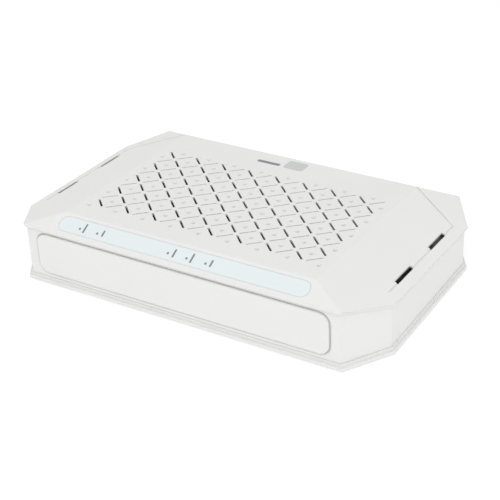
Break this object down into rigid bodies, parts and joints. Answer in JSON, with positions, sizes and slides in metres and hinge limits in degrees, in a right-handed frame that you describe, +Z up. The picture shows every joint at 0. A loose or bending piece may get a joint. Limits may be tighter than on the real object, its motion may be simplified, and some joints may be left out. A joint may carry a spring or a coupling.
{
  "type": "optical network terminal",
  "caption": "Flat eight-sided white fibre terminal with a faceted vented lid, an indicator strip, a blank front panel and rear fibre, network and power sockets.",
  "frame": {"origin": "on the table, under the middle of the flange of the tray", "axes": "+X along the indicator side, +Y towards the socket side, +Z up"},
  "size_m": [0.1706, 0.1076, 0.031],
  "materials": {
    "base_tray": "fine-textured white ABS",
    "board_screws": "zinc plated",
    "capacitor_1": "sleeved can",
    "capacitor_2": "sleeved can",
    "case_screws": "zinc plated",
    "crystal": "drawn can",
    "dust_cap": "soft black plastic",
    "fibre_sleeve": "zirconia",
    "flash_chip": "black epoxy",
    "front_panel": "satin white ABS",
    "heat_sink": "extruded",
    "lan_contacts_1": "gold plated",
    "lan_contacts_2": "gold plated",
    "lan_jack_1": "black moulded plastic",
    "lan_jack_2": "black moulded plastic",
    "lan_transformer": "black epoxy",
    "laser_driver": "black epoxy",
    "led_film": "pale blue polyester film",
    "light_guide": "clear acrylic",
    "main_board": "green solder mask",
    "memory_chip": "black epoxy",
    "optical_transceiver": "satin metal",
    "power_button": "dark grey ABS",
    "power_coil_1": "ferrite",
    "power_coil_2": "ferrite",
    "power_jack": "black nylon",
    "power_jack_pin": "plated",
    "power_switch": "black nylon",
    "processor": "black epoxy",
    "rating_label": "blank white label",
    "rear_panel": "satin white ABS",
    "reset_button": "red plastic",
    "reset_switch": "black nylon",
    "rubber_foot_front_left": "soft grey",
    "rubber_foot_front_right": "soft grey",
    "rubber_foot_rear_left": "soft grey",
    "rubber_foot_rear_right": "soft grey",
    "sc_adapter": "green moulded plastic",
    "service_header": "black nylon",
    "status_led_1": "clear lens",
    "status_led_2": "clear lens",
    "status_led_3": "clear lens",
    "status_led_4": "clear lens",
    "status_led_5": "clear lens",
    "thermal_pad": "soft grey-blue",
    "top_cover": "fine-textured white ABS",
    "voltage_regulator": "black epoxy"
  },
  "bodies": {
    "housing": {"base_tray": "base_tray", "board_screws": "board_screws", "capacitor_1": "capacitor_1", "capacitor_2": "capacitor_2", "case_screws": "case_screws", "crystal": "crystal", "fibre_sleeve": "fibre_sleeve", "flash_chip": "flash_chip", "front_panel": "front_panel", "heat_sink": "heat_sink", "lan_contacts_1": "lan_contacts_1", "lan_contacts_2": "lan_contacts_2", "lan_jack_1": "lan_jack_1", "lan_jack_2": "lan_jack_2", "lan_transformer": "lan_transformer", "laser_driver": "laser_driver", "led_film": "led_film", "light_guide": "light_guide", "main_board": "main_board", "memory_chip": "memory_chip", "optical_transceiver": "optical_transceiver", "power_coil_1": "power_coil_1", "power_coil_2": "power_coil_2", "power_jack": "power_jack", "power_jack_pin": "power_jack_pin", "power_switch": "power_switch", "processor": "processor", "rating_label": "rating_label", "rear_panel": "rear_panel", "reset_switch": "reset_switch", "rubber_foot_front_left": "rubber_foot_front_left", "rubber_foot_front_right": "rubber_foot_front_right", "rubber_foot_rear_left": "rubber_foot_rear_left", "rubber_foot_rear_right": "rubber_foot_rear_right", "sc_adapter": "sc_adapter", "service_header": "service_header", "status_led_1": "status_led_1", "status_led_2": "status_led_2", "status_led_3": "status_led_3", "status_led_4": "status_led_4", "status_led_5": "status_led_5", "thermal_pad": "thermal_pad", "top_cover": "top_cover", "voltage_regulator": "voltage_regulator"},
    "power_button": {"power_button": "power_button"},
    "reset_button": {"reset_button": "reset_button"},
    "dust_cap": {"dust_cap": "dust_cap"}
  },
  "joints": [
    {"name": "power_button_press", "type": "slide", "parent": "housing", "child": "power_button", "axis": [0, -1, 0], "range_m": [0, 0.002], "stiffness_N_per_m": 600},
    {"name": "reset_button_press", "type": "slide", "parent": "housing", "child": "reset_button", "axis": [0, -1, 0], "range_m": [0, 0.00035], "stiffness_N_per_m": 900},
    {"name": "dust_cap_pull", "type": "slide", "parent": "housing", "child": "dust_cap", "axis": [0, 1, 0], "range_m": [0, 0.03]}
  ]
}
